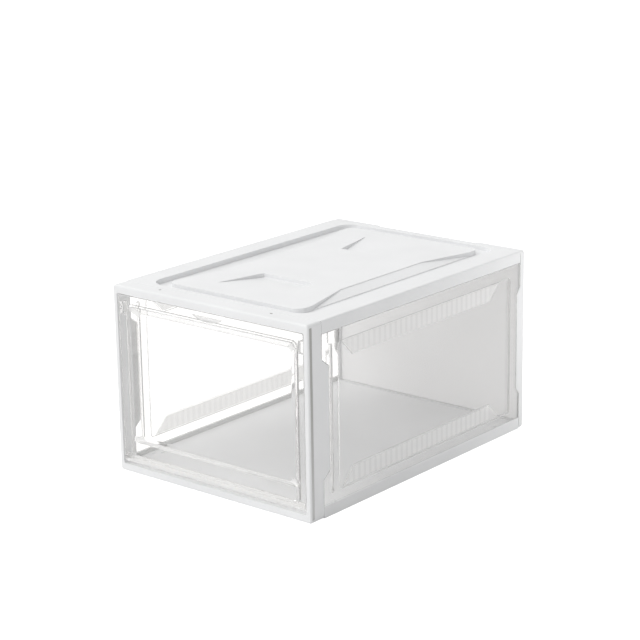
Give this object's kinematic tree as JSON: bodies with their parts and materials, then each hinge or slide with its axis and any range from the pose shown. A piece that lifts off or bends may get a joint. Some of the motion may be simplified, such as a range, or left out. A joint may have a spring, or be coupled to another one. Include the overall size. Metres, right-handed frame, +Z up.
{
  "type": "drop-front shoe box",
  "caption": "Stackable display box for shoes: white frames, cover, tray and back, clear sides, and a clear drop-front door that hinges at its foot.",
  "frame": {"origin": "middle of the underside, on the surface the box stands on", "axes": "+X to the right seen from the front, +Y from the door to the back, +Z up"},
  "size_m": [0.27, 0.38, 0.209],
  "materials": {
    "white_plastic": "satin moulded",
    "clear_plastic": "clear polished"
  },
  "bodies": {
    "box": {"front_frame": "white_plastic", "rear_frame": "white_plastic", "top_cover": "white_plastic", "base_tray": "white_plastic", "right_side_panel": "clear_plastic", "left_side_panel": "clear_plastic", "rear_panel": "white_plastic"},
    "door": {"front_door": "clear_plastic"}
  },
  "joints": [
    {"name": "door_hinge", "type": "hinge", "parent": "box", "child": "door", "pos_m": [0, -0.184, 0.0148], "axis": [1, 0, 0], "range_deg": [0, 90]}
  ]
}
